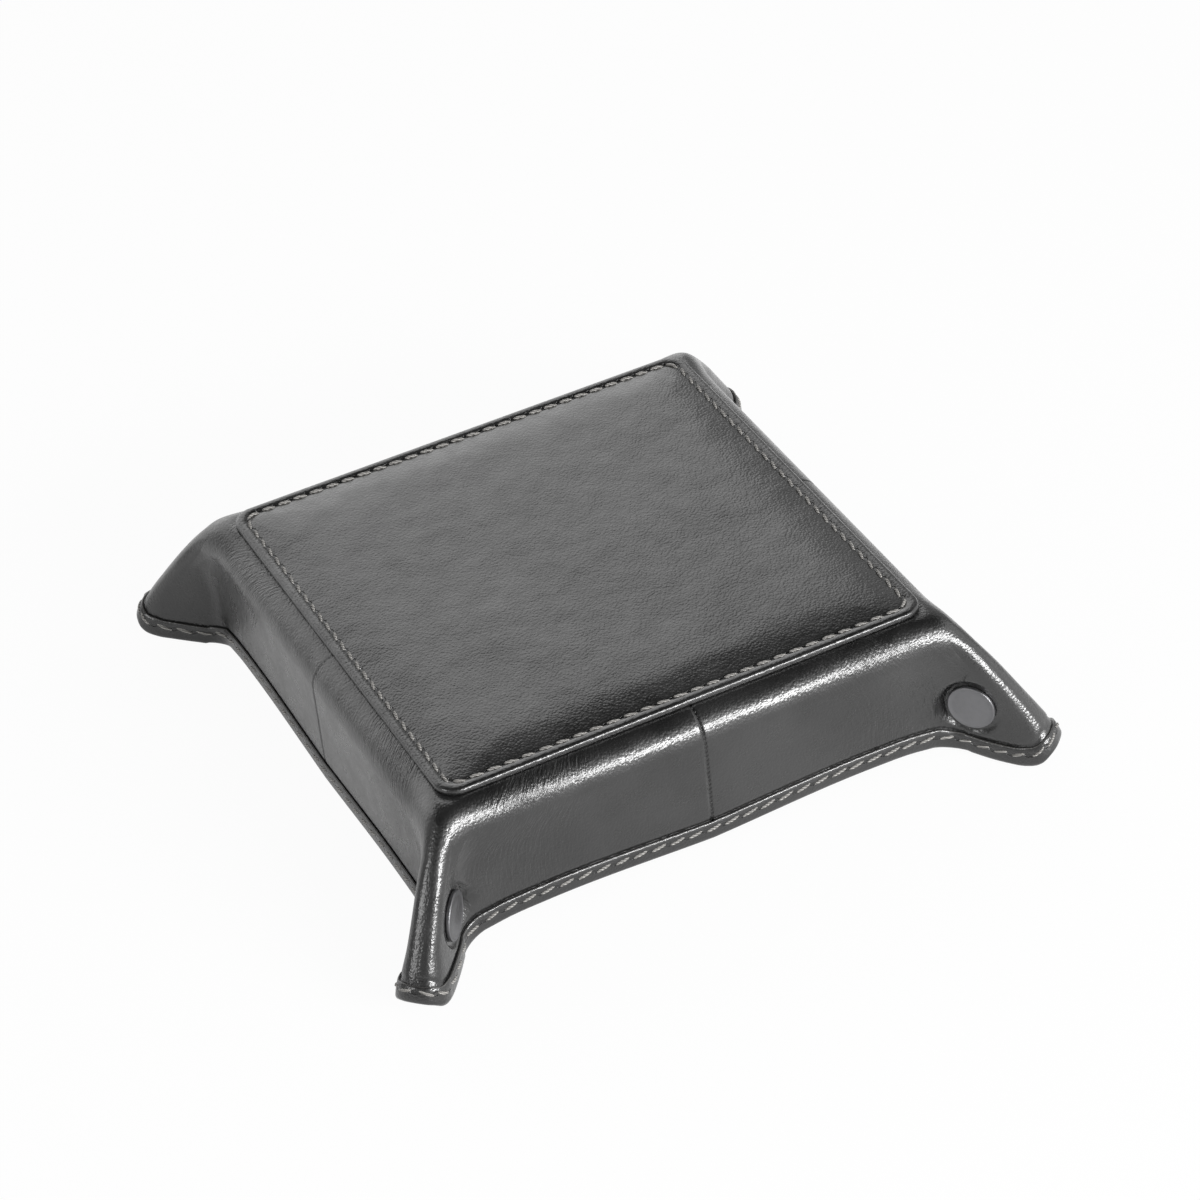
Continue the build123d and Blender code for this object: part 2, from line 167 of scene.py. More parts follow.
def wall_line(depth):
    """Distance of the wall's outer face from the middle, at a depth."""
    lift = np.clip(fold_radius - depth, 0, fold_radius)
    return flat_half + np.sqrt(fold_radius**2 - lift**2)


def nose_reach(depth):
    lean = ear["lean"] * np.clip(depth / lean_depth, 0, lean_most) ** lean_power
    return smooth_curve(np.sqrt(np.maximum(depth, 0)), np.sqrt(nose_depths), nose_reaches) + lean


def ear_half_width(depth):
    """Half the ear's width at a depth, rounded off where the ear grows out of the base."""
    start = np.clip(1 - depth / ear_round, 0, 1)
    return smooth_curve(depth, ear_depths, ear_half_widths) * np.sqrt(1 - start**2)


def corner_points(depth):
    """Crease, start of the nose and the two half axes of the nose, on the diagonal's axes."""
    half = ear_half_width(depth)
    crease_v = np.minimum(half, crease_half_width)
    crease_u = wall_line(depth) * ROOT2 - crease_v
    reach = nose_reach(depth)
    higher, lower = np.maximum(depth - slope_step, 0), depth + slope_step
    slope = (nose_reach(lower) - nose_reach(higher)) / (lower - higher)
    long_axis = np.minimum(half * np.sqrt(1 + slope**2), (reach - crease_u) * nose_share)
    return crease_u, crease_v, reach - long_axis, half, long_axis


def turn_axes(u, v):
    """From along and across the diagonal to along and out of the wall."""
    return (u - v) / ROOT2, (u + v) / ROOT2


def bezier(share, points):
    """A place on a soft curve that is drawn by three or four points."""
    away = 1 - share
    weights = {3: (away**2, 2 * share * away, share**2),
               4: (away**3, 3 * share * away**2, 3 * share**2 * away, share**3)}[len(points)]
    return sum(weight * point for weight, point in zip(weights, points))


WALL, CREASE, FLAP, NOSE = range(4)
flare_length, flare_middle, flare_round, flare_depths = 17.0, 0.45, 3.4, (2.0, 15.0)
flare_shares = {CREASE: (0.0, 0.3), FLAP: (0.3, 0.3), NOSE: (0.6, 0.4)}


def flare_section(part, share, depth):
    """Near the base the ear is only a soft outward flare of the corner, drawn as one curve."""
    line, tip = wall_line(depth), nose_reach(depth) / ROOT2
    if part == WALL:
        return share * (line - flare_length), line + 0 * share
    start, length = flare_shares[part]
    t, bulge = start + length * share, flare_round / ROOT2
    along = (line - flare_length, line - flare_length * flare_middle, tip - bulge, tip)
    return bezier(t, along), bezier(t, (line, line, tip + bulge, tip))


def ear_section(part, share, depth):
    """The section of the pinched ear: wall, crease, flap and nose."""
    crease_u, crease_v, nose_u, half, long_axis = corner_points(depth)
    crease_a, crease_o = turn_axes(crease_u, crease_v)
    run = np.hypot(nose_u - crease_u, half - crease_v)
    along_u, along_v = (nose_u - crease_u) / run, (half - crease_v) / run
    wall_cut = smooth_curve(depth, crease_depths, crease_radii) * math.tan(flare_turn / 2)
    cut = np.minimum(wall_cut, run * crease_share)
    if part == WALL:
        return share * (crease_a - wall_cut), wall_line(depth) + 0 * share
    if part == CREASE:
        last = turn_axes(crease_u + along_u * cut, crease_v + along_v * cut)
        return (bezier(share, (crease_a - wall_cut, crease_a, last[0])),
                bezier(share, (crease_o, crease_o, last[1])))
    if part == FLAP:
        travel = cut + share * (run - cut)
        hump = flap_hump * np.sin(math.pi * np.clip(travel / run, 0, 1))
        hump = hump * np.clip(depth / hump_depth, 0, 1)
        return turn_axes(crease_u + along_u * travel, crease_v + along_v * travel + hump)
    angle = share * math.pi / 2
    return turn_axes(nose_u + long_axis * np.sin(angle) ** nose_power,
                     half * np.maximum(np.cos(angle), 0) ** nose_power)


def section(part, share, depth):
    """Place on the level section: part of the line, share of its length, and the depth."""
    share, depth = np.broadcast_arrays(np.asarray(share, float), np.asarray(depth, float))
    flare_a, flare_o = flare_section(part, share, depth)
    ear_a, ear_o = ear_section(part, share, depth)
    first, last = flare_depths
    weight = ease(np.clip((depth - first) / (last - first), 0, 1))
    return flare_a + (ear_a - flare_a) * weight, flare_o + (ear_o - flare_o) * weight


# %% [markdown]
# The cut edge of the leather isn't level. It waves along the wall, dips at the crease, hangs
# lowest on the flap and climbs round the nose. These few depths were read off the photograph.

# %% The rim
# Places along each part, in millimetres on the wall and in shares elsewhere, and depths there.
rims = {
    WALL: ((0.0, 44.0, 54.0, 61.0), (36.9, 35.4, 35.8, 36.8)),
    CREASE: ((0.0, 0.5, 1.0), (36.8, 38.0, 38.6)),
    FLAP: ((0.0, 0.3, 0.6, 0.85, 1.0), (38.6, 39.1, 39.3, 39.2, 38.7)),
    NOSE: ((0.0, 0.42, 0.75, 1.0), (38.7, 37.4, 36.0, 35.2)),
}
deepest_rim = 39.35


def rim_depth(part, share):
    if part == NOSE:
        share = np.sin(np.asarray(share) * math.pi / 2)
    places, depths = rims[part]
    depth = smooth_curve(share * places[-1], places, depths)
    if part in (WALL, CREASE):
        return depth
    lift = ear["ridge_lift"] * share * (2 - share)
    if part == NOSE:
        lift = ear["ridge_lift"] + (ear["tip_lift"] - ear["ridge_lift"]) * share
    return np.minimum(depth - lift, deepest_rim)


# %% [markdown]
# The grid of the sheet has one column for each place along the section and one row for each
# depth. The same grid gives the leather, its thickness, the binding and the thread, so they
# fit each other at any size.

# %% The sheet of a corner's side
columns_of = {WALL: 62, CREASE: 12, FLAP: 36, NOSE: 16}
seam_shares = (0.0, 0.0025, 0.005, 0.0075, 0.01, 0.0135)
fold_rows, wall_rows, root_depth = 18, 56, 5.0
columns = [(WALL, share) for share in seam_shares]
columns += [(part, index / count) for part, count in columns_of.items()
            for index in range(1 if part == WALL else 0, count)]
columns.append((NOSE, 1.0))
column_parts = [part for part, _ in columns]
crease_start, flap_start, nose_start = (column_parts.index(part) for part in (CREASE, FLAP, NOSE))
last_column = len(columns)
along_step, down_step = 0.02, 0.05


def outward(turn):
    return np.array((math.cos(math.radians(turn)), math.sin(math.radians(turn))))


def turned_to_row(vectors, turn, end):
    """From along, out and depth of a wall's end to directions on the tray's own axes."""
    out, along = outward(turn), outward(turn + 90) * end
    a, o, depth = np.moveaxis(np.asarray(vectors), -1, 0)
    return np.stack([out[0] * o + along[0] * a, out[1] * o + along[1] * a, -depth], -1)


def place_in_row(points, turn, end):
    """From along, out and depth of a wall's end to places in the tray, in millimetres."""
    return turned_to_row(points, turn, end) + (0, 0, base_height)


def surface(part, share, depth, lift=0.0):
    """Place on the sheet, lifted along its normal, in along, out and depth of the wall."""
    def at(some_share, some_depth):
        return np.stack(np.broadcast_arrays(*section(part, some_share, some_depth), some_depth), -1)

    if part == NOSE:
        low, high = np.clip(share - along_step, 0, 1), np.clip(share + along_step, 0, 1)
    else:
        low = share - along_step * (share > 1 - along_step)
        high = share + along_step * (share <= 1 - along_step)
    across = at(high, depth) - at(low, depth)
    down = at(share, depth + down_step) - at(share, np.maximum(depth - down_step, 0.0))
    normal = np.cross(down, across)
    if part == NOSE:
        # At the tip the two halves of the ear mirror each other.
        middle = np.broadcast_to(share, normal.shape[:-1]) >= 1 - 1e-6
        mean = (normal[..., 0] + normal[..., 1]) / 2
        for axis in (0, 1):
            normal[..., axis] = np.where(middle, mean, normal[..., axis])
    normal /= np.maximum(np.linalg.norm(normal, axis=-1, keepdims=True), 1e-9)
    return at(share, depth) + normal * np.asarray(lift)[..., None], normal


# The seam at mid-wall lies in a shallow dip, and the stitched binding presses a groove into
# the leather just above itself.
middle_seam_half, middle_seam_dip, seam_row = 0.35, 0.3, 5
groove_height, groove_width, groove_dip = 5.3, 0.5, 0.3


def sheet_grid():
    """Outer places and normals of the sheet, as rows of columns, in along, out and depth."""
    places, normals = [], []
    for part, share in columns:
        rim = float(rim_depth(part, share))
        turn_share = np.linspace(0, 1, fold_rows + 1)
        fold_depths = fold_radius * (1 - np.cos(turn_share * math.pi / 2))
        rest = fold_radius + (rim - fold_radius) * np.linspace(0, 1, wall_rows + 1)[1:]
        depth = np.concatenate([fold_depths, rest])
        point, normal = surface(part, np.full_like(depth, share), depth)
        normal[0] = (0, 0, -1)
        if part == WALL:
            dip = middle_seam_dip * math.exp(-(point[seam_row, 0] / middle_seam_half) ** 2)
            point = point - normal * dip
        groove = groove_dip * np.exp(-(((rim - depth - groove_height) / groove_width) ** 2))
        places.append(point - normal * groove[:, None])
        normals.append(normal)
    return np.stack(places, 1), np.stack(normals, 1)


# %% [markdown]
# Each snap cap sits in a pressed seat: the leather round it is pushed down to the cap's
# underside. The front right cap gives the place, and the other corners are its mirrors.

# %% Pressed seats
seat_inner, seat_outer, seat_drop, seat_reach = 6.9, 8.3, 0.42, 6
level_rows = 3


def cap_centre():
    """Middle of the front right cap, in along, out and depth of the front wall."""
    low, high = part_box("front_right_snap_cap")
    middle = (low + high) / 2 / MM
    flat = np.array((middle.x, middle.y))
    return np.array((flat @ outward(0), flat @ outward(-90), base_height - middle.z))


seat_middle = cap_centre()
seat_normal = np.array((-math.sin(flare_turn), math.cos(flare_turn), 0.0))


def press_seat(places):
    height = (places - seat_middle) @ seat_normal
    radius = np.linalg.norm(places - seat_middle - height[..., None] * seat_normal, axis=-1)
    share = ease(np.clip((seat_outer - radius) / (seat_outer - seat_inner), 0, 1))
    share = share * (np.abs(height) < seat_reach)
    return places - seat_normal * (share * (height + seat_drop))[..., None]


def grid_normals(places):
    """Normals of a grid of places, from its neighbours; the corner's middle is a mirror."""
    across = np.gradient(places, axis=1)
    down = np.gradient(places, axis=0)
    mirror = places[:, -2][:, [1, 0, 2]]
    across[:, -1] = (mirror - places[:, -2]) / 2
    normal = np.cross(down, across)
    length = np.linalg.norm(normal, axis=-1, keepdims=True)
    return normal / np.maximum(length, 1e-9), length > 1e-7


def make_sheets(corner):
    """The plain sheet of the stud side and the pressed sheet of the cap side of one corner."""
    choose_ear(corner)
    places, normals = sheet_grid()
    pressed = press_seat(places)
    found, sound = grid_normals(pressed)
    sound = sound & (np.arange(len(places)) > level_rows)[:, None, None]
    return {"stud": (places, normals), "cap": (pressed, np.where(sound, found, normals))}


sheets = {corner: make_sheets(corner) for corner in ears}
plain_sheet = sheets["front_right"]["stud"][0]
last_row = len(plain_sheet)
root_row = int(np.searchsorted(plain_sheet[:, -1, 2], root_depth)) + 1
print("sheet grid", plain_sheet.shape, "root row", root_row)

# %% [markdown]
# A shell is made from a block of the grid: its outer face, its inner face one thickness below
# and a strip round the edge. Pieces that meet take the normals of the whole sheet, so the
# gloss runs over their joint without a line.

# %% Build a shell
def mesh_object(name, vertices, faces, loop_normals=None, loop_uvs=None):
    mesh = bpy.data.meshes.new(name)
    mesh.from_pydata([tuple(v) for v in vertices], [], faces)
    if loop_uvs is not None:
        layer = mesh.uv_layers.new(name="leather_map")
        layer.uv.foreach_set("vector", np.asarray(loop_uvs, np.float32).ravel())
    mesh.update()
    thing = bpy.data.objects.new(name, mesh)
    bpy.context.collection.objects.link(thing)
    mesh.polygons.foreach_set("use_smooth", [True] * len(mesh.polygons))
    if loop_normals is not None:
        mesh.normals_split_custom_set([tuple(n) for n in loop_normals])
    return thing


class Shell:
    """Collects blocks of faces with their own normals, and makes one mesh of them."""

    def __init__(self):
        self.vertices, self.faces, self.normals, self.uvs = [], [], [], []

    def block(self, outer, inner, outer_normals, flat_places, flip):
        """outer and inner are grids of places in metres; flip turns the faces over."""
        rows, count, _ = outer.shape
        start = len(self.vertices)
        for layer in (outer, inner):
            self.vertices += [tuple(p) for p in layer.reshape(-1, 3)]

        def add_face(face, normals, spots):
            uvs = [flat_places[spot] for spot in spots]
            if flip:
                face, normals, uvs = face[::-1], normals[::-1], uvs[::-1]
            self.faces.append(face)
            self.normals += normals
            self.uvs += uvs

        def at(spot, layer):
            return start + layer * rows * count + spot[0] * count + spot[1]

        for row in range(rows - 1):
            for column in range(count - 1):
                ring = [(row, column), (row + 1, column), (row + 1, column + 1), (row, column + 1)]
                for layer, sign in ((0, 1), (1, -1)):
                    add_face([at(spot, layer) for spot in ring],
                             [tuple(sign * outer_normals[spot]) for spot in ring], ring)
                    ring = ring[::-1]
        edge = [(0, c) for c in range(count)] + [(r, count - 1) for r in range(1, rows)]
        edge += [(rows - 1, c) for c in range(count - 2, -1, -1)]
        edge += [(r, 0) for r in range(rows - 2, 0, -1)]
        for first, second in zip(edge, edge[1:] + edge[:1]):
            side = np.cross(outer[second] - outer[first], inner[first] - outer[first])
            side = side / max(np.linalg.norm(side), 1e-12)
            add_face([at(first, 0), at(second, 0), at(second, 1), at(first, 1)],
                     [tuple(-side if flip else side)] * 4, [first, second, second, first])

    def make(self, name):
        return mesh_object(name, self.vertices, self.faces, self.normals, self.uvs)


walls = {"front": -90, "right": 0, "back": 90, "left": 180}
corners = {
    "front_right": {"cap": (-90, 1), "stud": (0, -1)},
    "front_left": {"cap": (-90, -1), "stud": (180, 1)},
    "back_right": {"cap": (90, -1), "stud": (0, 1)},
    "back_left": {"cap": (90, 1), "stud": (180, -1)},
}
corner_of = {place: (corner, side) for corner, sides in corners.items()
             for side, place in sides.items()}
map_row = 36
apron_width, apron_thickness, apron_lift, apron_inset = 8.0, 0.8, 0.02, 0.3
apron_steps = (1.0, 0.6, 0.3, 0.0)


def flat_map(places, end):
    """The sheet laid flat, in millimetres: along from mid-wall, and down from the base."""
    steps = np.linalg.norm(np.diff(places[map_row], axis=0), axis=1)
    along = np.concatenate([[0], np.cumsum(steps)]) * end
    down = np.zeros(places.shape[:2])
    down[1:] = np.cumsum(np.linalg.norm(np.diff(places, axis=0), axis=2), axis=0)
    return np.stack([np.broadcast_to(along, down.shape), down], -1)


def grid_block(shell, turn, end, column_range, row_range, thickness):
    """Adds a block of a corner's sheet to a shell; thickness is one value or a grid of them."""
    corner, side = corner_of[turn, end]
    block = slice(*row_range), slice(*column_range)
    places, normals = (field[block] for field in sheets[corner][side])
    plain, plain_normals = (field[block] for field in sheets[corner]["stud"])
    inner = plain - plain_normals * np.broadcast_to(thickness, places.shape[:2])[..., None]
    shell.block(place_in_row(places, turn, end) * MM, place_in_row(inner, turn, end) * MM,
                turned_to_row(normals, turn, end),
                flat_map(sheets[corner]["stud"][0], end)[block], end < 0)


def add_apron(shell, turn, end):
    """The flat leather under the sole's rounded corner, level with the base."""
    edge = sheets[corner_of[turn, end][0]]["stud"][0][0, crease_start:]
    share = np.clip((edge[:, 0] - edge[0, 0]) / apron_width, 0, 1)[:, None]
    rows = []
    for step in apron_steps:
        inward = np.array((apron_width * step, apron_width * step, 0.0)) * share
        rows.append(edge - inward - np.array((0, apron_inset * step, apron_lift * step)))
    places = np.stack(rows)
    normals = np.zeros_like(places)
    normals[..., 2] = -1
    inner = places - normals * apron_thickness
    shell.block(place_in_row(places, turn, end) * MM, place_in_row(inner, turn, end) * MM,
                turned_to_row(normals, turn, end), places[..., :2], end < 0)


# %% [markdown]
# Each wall's outer leather runs from under the sole, over the fold and down to the rim, with a
# seam at mid-wall. It also carries the root of each ear, where the fold runs out into the nose.

# %% Wall leather
row_thickness = np.where(np.arange(last_row) <= fold_rows, laminate, outer_leather)


def blend_fold(piece):
    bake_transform(piece)


leather_pieces = []
for wall, turn in walls.items():
    shell = Shell()
    for end in (1, -1):
        grid_block(shell, turn, end, (0, crease_start + 1), (0, last_row), row_thickness[:, None])
        grid_block(shell, turn, end, (crease_start, last_column), (0, root_row + 1), flap_laminate)
        add_apron(shell, turn, end)
    piece = shell.make(f"{wall}_wall_outer_leather")
    nodes = [f"{wall}_wall_leather"] + (["fold_ring"] if wall == "front" else [])
    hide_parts(*nodes)
    blend_fold(piece)
    leather_pieces.append(piece)
    print(piece.name, len(piece.data.polygons), "faces")

# %% [markdown]
# Below each corner of the outer leather lies a small gusset. It is hidden while the tray
# stands, and closes the corner when the walls are opened flat.

# %% Corner gussets
gusset_size, gusset_reach, gusset_depth, gusset_thickness = 12.0, 68.8, 3.05, 0.4
gusset_edge = 0.2
gusset_middle = (gusset_reach - gusset_size / 2) * MM
gusset_level = (base_height - gusset_depth - gusset_thickness) * MM
gussets = []
for across, along in ((1, 1), (1, -1), (-1, 1), (-1, -1)):
    spot = (across * gusset_middle, along * gusset_middle, gusset_level)
    bpy.ops.mesh.primitive_plane_add(size=gusset_size * MM, location=spot)
    gusset = bpy.context.active_object
    bpy.ops.object.mode_set(mode="EDIT")
    lift = (0, 0, gusset_thickness * MM)
    bpy.ops.mesh.extrude_region_move(TRANSFORM_OT_translate={"value": lift})
    bpy.ops.mesh.select_all(action="SELECT")
    bpy.ops.mesh.normals_make_consistent(inside=False)
    bpy.ops.object.mode_set(mode="OBJECT")
    bevel = gusset.modifiers.new("skived edge", "BEVEL")
    bevel.width, bevel.segments = gusset_edge * MM, 2
    bpy.ops.object.modifier_apply(modifier=bevel.name)
    bpy.ops.object.transform_apply(location=True, rotation=True, scale=True)
    gusset.select_set(False)
    gussets.append(gusset)
for gusset in gussets:
    gusset.select_set(True)
bpy.context.view_layer.objects.active = gussets[0]
bpy.ops.object.join()
gusset = bpy.context.active_object
gusset.name = "corner_gussets"
gusset.select_set(False)
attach(gusset, "base")
print(gusset.name, len(gusset.data.polygons), "faces")

# %% [markdown]
# A flap is the same sheet between the crease and the nose, and the half nose is the
# sheet round the ridge.

# %% Flaps and noses
ridge_slope = 1 / (1 + ROOT2 * math.sin(math.radians(5.5)))
crease_lining = 0.8


def flap_thicknesses():
    share = np.clip(np.arange(nose_start + 1 - crease_start) / (flap_start - crease_start), 0, 1)
    thin = outer_leather + crease_lining
    return thin + (laminate - outer_leather - crease_lining) * (1 - share)


def flap_axes(turn, end):
    """Outward and along directions of a wall, the run of its flap and the place of its crease."""
    out, along = Vector((*outward(turn), 0)), Vector((*(outward(turn + 90) * end), 0))
    run = along * math.cos(flare_turn) + out * math.sin(flare_turn)
    crease = out * wall_place + along * (wall_place - crease_half_width * ROOT2)
    return out, along, run, crease + Vector((0, 0, base_height))


def bend_with_flap(piece, turn, end):
    """Bakes the piece's transform into its mesh."""
    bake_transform(piece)


def bend_round_ridge(piece, turn, end):
    """Works out the ridge and the way in from it, which are not used, and bakes the piece's
    transform into its mesh.
    """
    out, along, run, _ = flap_axes(turn, end)
    ridge = (run * ridge_slope - Vector((0, 0, 1))).normalized()
    inward = (along - out).normalized()
    inward = (inward - ridge * inward.dot(ridge)).normalized()
    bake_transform(piece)


for corner, sides in corners.items():
    for side, (turn, end) in sides.items():
        for name, columns_used, thickness, bend in (
                ("flap", (crease_start, nose_start + 1), flap_thicknesses(), bend_with_flap),
                ("nose", (nose_start, last_column), flap_laminate, bend_round_ridge)):
            shell = Shell()
            grid_block(shell, turn, end, columns_used, (root_row, last_row), thickness)
            piece = shell.make(f"{corner}_{side}_{name}_leather")
            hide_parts(f"{corner}_{side}_{name}")
            bend(piece, turn, end)
            leather_pieces.append(piece)
print(len(leather_pieces), "pieces of outer leather")

# %% [markdown]
# The cut edges are bound with a strip of thin leather, folded round the rim and stitched
# through. Its outline is a narrow U with a soft lower lip, carried along the rim.

# %% Binding
binding_width, binding_proud, lip_height, lip_start, lip_steps = 5.0, 0.6, 1.4, 0.8, 12
nose_fall = 0.24
rim_stitch_pitch, rim_start_gap, thread_height, thread_reach = 5.0, 0.4, 3.3, 0.5


def binding_profile(thickness):
    """Height above the cut edge and lift off the outer face, once round the U."""
    middle, half = -thickness / 2, thickness / 2 + binding_proud
    points = [(binding_width, 0.03), (binding_width, 0.38), (binding_width - 0.25, 0.58)]
    points += [(height, binding_proud) for height in (3.6, 2.4, 1.4)]
    for step in range(lip_steps + 1):
        angle = math.pi * step / lip_steps
        points.append((lip_start - lip_height * math.sin(angle), middle + half * math.cos(angle)))
    points += [(height, middle - half) for height in (1.4, 3.6, binding_width - 0.25)]
    points += [(binding_width, middle - half + 0.2), (binding_width, -thickness - 0.03)]
    points += [(0.2, -thickness - 0.03), (-0.02, middle), (0.2, 0.03)]
    return points


def fall_share(part, share):
    """How much of a step across the binding goes down, which is less on the sloping nose."""
    return 1.0 - nose_fall * math.sin(share * math.pi / 2) if part == NOSE else 1.0


def rim_ring(part, share, turn, end):
    """One outline of the binding."""
    choose_ear(corner_of[turn, end][0])
    thickness = {WALL: laminate, CREASE: laminate + (flap_laminate - laminate) * share}
    heights, lifts = np.array(binding_profile(thickness.get(part, flap_laminate))).T
    depth = float(rim_depth(part, share)) - heights * fall_share(part, share)
    points, _ = surface(part, np.full_like(depth, share), depth, lifts)
    return place_in_row(points, turn, end) * MM


def rim_frame(part, share, turn, end):
    """Place on the middle of the binding, its normal and the way up across it."""
    choose_ear(corner_of[turn, end][0])
    rim = float(rim_depth(part, share))
    fall = fall_share(part, share)
    depths = np.array([rim - thread_height * fall, rim - (thread_height + thread_reach) * fall])
    points, normals = surface(part, np.full(2, share), depths, np.full(2, binding_proud))
    row = place_in_row(points, turn, end)
    across = row[1] - row[0]
    return row[0], turned_to_row(normals, turn, end)[0], across / np.linalg.norm(across)


def skin(ring_count, count, start=0, spot=None):
    """Faces over rings of as many points each, with a cap on each end, and their map."""
    faces, uvs = [], []
    for row in range(ring_count - 1):
        for point in range(count):
            around = [(row, point), (row, point + 1), (row + 1, point + 1), (row + 1, point)]
            faces.append([start + r * count + p % count for r, p in around])
            uvs += [spot(r, p) for r, p in around] if spot else []
    faces.append([start + p for p in range(count)][::-1])
    faces.append([start + (ring_count - 1) * count + p for p in range(count)])
    return faces, uvs


def turn_outwards(thing, triangulated=False):
    """Turns the faces of closed skins outwards, and cuts their caps up if asked."""
    closed = bmesh.new()
    closed.from_mesh(thing.data)
    if triangulated:
        bmesh.ops.triangulate(closed, faces=[f for f in closed.faces if len(f.verts) > 4])
    bmesh.ops.recalc_face_normals(closed, faces=closed.faces)
    closed.to_mesh(thing.data)
    closed.free()


def smooth_by_angle(thing, degrees):
    bpy.ops.object.select_all(action="DESELECT")
    thing.select_set(True)
    bpy.context.view_layer.objects.active = thing
    bpy.ops.object.shade_smooth_by_angle(angle=math.radians(degrees))
    thing.select_set(False)


def stitch_line(path, pitch, start_gap):
    """Lengths along a path, the number of stitches that fit it, and their exact pitch."""
    places = np.array([p[0] for p in path])
    steps = np.linalg.norm(np.diff(places, axis=0), axis=1)
    lengths = np.concatenate([[0], np.cumsum(steps)])
    count = max(1, int((lengths[-1] - 2 * start_gap) / pitch + 0.5))
    return lengths, count, (lengths[-1] - 2 * start_gap) / count


# The name of each length's thread, the body that it rides on and its path.
rim_runs = []
binding_pieces = []


def add_binding(name, body, columns_used):
    """One length of binding. Its map is the count of stitches along it and the height across."""
    rings = [rim_ring(*column) for column in columns_used]
    path = [rim_frame(*column) for column in columns_used]
    lengths, _, step = stitch_line(path, rim_stitch_pitch, rim_start_gap)
    marks = (lengths - rim_start_gap) / step
    heights = [height for height, _ in binding_profile(flap_laminate)]
    count = len(heights)
    faces, uvs = skin(len(rings), count,
                      spot=lambda row, point: (marks[row], heights[point % count]))
    uvs += [(marks[0] + 0.5, h) for h in heights[::-1]] + [(marks[-1] + 0.5, h) for h in heights]
    piece = mesh_object(f"{name}_binding", [p for ring in rings for p in ring], faces, None, uvs)
    turn_outwards(piece, triangulated=True)
    smooth_by_angle(piece, degrees=45)
    binding_pieces.append(piece)
    rim_runs.append((f"{name}_thread", body, path))
    return piece


for wall, turn in walls.items():
    halves = {}
    for end, order in ((-1, slice(crease_start, 0, -1)), (1, slice(0, crease_start + 1))):
        halves[end] = [(*column, turn, end) for column in columns[order]]
    piece = add_binding(f"{wall}_rim", f"{wall}_wall", halves[-1] + halves[1])
    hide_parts(f"{wall}_wall_binding")
    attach(piece, f"{wall}_wall")
for corner, sides in corners.items():
    for side, (turn, end) in sides.items():
        for name, start, stop in (("flap", crease_start, nose_start + 1),
                                  ("nose", nose_start, last_column)):
            body = f"{corner}_{side}_{name}"
            places = [(*column, turn, end) for column in columns[start:stop]]
            piece = add_binding(body, body, places)
            if name == "flap":
                bend_with_flap(piece, turn, end)
            else:
                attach(piece, body)
print(len(binding_pieces), "pieces of binding")

# %% [markdown]
# Light thread runs along the middle of the binding. A stitch is a short tube that rises out
# of one needle hole and dips into the next, a little askew, as a saddle stitch lies.

# %% Rim thread
rim_stitch_length, rim_thread_tilt, rim_thread_rise = 3.9, 0.42, 0.12
thread_radius, thread_sides, thread_steps, thread_sink = 0.42, 6, 8, 0.12
# A stitch is thinner at its holes. Its length, place and tilt differ a little each time.
thread_end, thread_swell = 0.55, 0.45
length_spread, place_spread, tilt_spread = (0.93, 1.04), (-0.1, 0.1), (-0.08, 0.08)


def stitch_rings(path, lengths, middle, length, tilt, rise):
    """Rings of one stitch on a path of (place, normal, across) frames, about a middle length."""
    rings = []
    for step in range(thread_steps + 1):
        share = step / thread_steps
        travel = middle + (share - 0.5) * length
        index = int(np.clip(np.searchsorted(lengths, travel) - 1, 0, len(path) - 2))
        part = (travel - lengths[index]) / max(lengths[index + 1] - lengths[index], 1e-6)
        place, normal, across = (low + (high - low) * part
                                 for low, high in zip(path[index], path[index + 1]))
        arch = math.sin(math.pi * share)
        centre = place + across * tilt * (share - 0.5) * 2 + normal * (rise * arch - thread_sink)
        radius = thread_radius * (thread_end + thread_swell * math.sqrt(arch))
        for side in range(thread_sides):
            angle = 2 * math.pi * side / thread_sides
            spoke = across * math.cos(angle) + normal * math.sin(angle)
            rings.append(tuple((centre + spoke * radius) * MM))
    return rings


def thread_piece(name, path, pitch, length, tilt, rise, start_gap):
    """One mesh of all the stitches along a path."""
    lengths, count, step = stitch_line(path, pitch, start_gap)
    vertices, faces = [], []
    for index in range(count):
        middle = start_gap + step * (index + 0.5)
        own_length = length * step / pitch * random.uniform(*length_spread)
        faces += skin(thread_steps + 1, thread_sides, len(vertices))[0]
        vertices += stitch_rings(path, lengths, middle + random.uniform(*place_spread),
                                 own_length, tilt + random.uniform(*tilt_spread), rise)
    thing = mesh_object(name, vertices, faces)
    turn_outwards(thing)
    return thing


thread_pieces = []
for name, body, path in rim_runs:
    piece = thread_piece(name, path, rim_stitch_pitch, rim_stitch_length, rim_thread_tilt,
                         rim_thread_rise, rim_start_gap)
    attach(piece, body)
    thread_pieces.append(piece)
print(len(thread_pieces), "runs of rim thread")

# %% [markdown]
# The sole is a padded panel. Its edge is turned over, a seam pulls it down all round, and the
# field rises softly inside the seam. It is drawn as rings, from the edge to the middle.

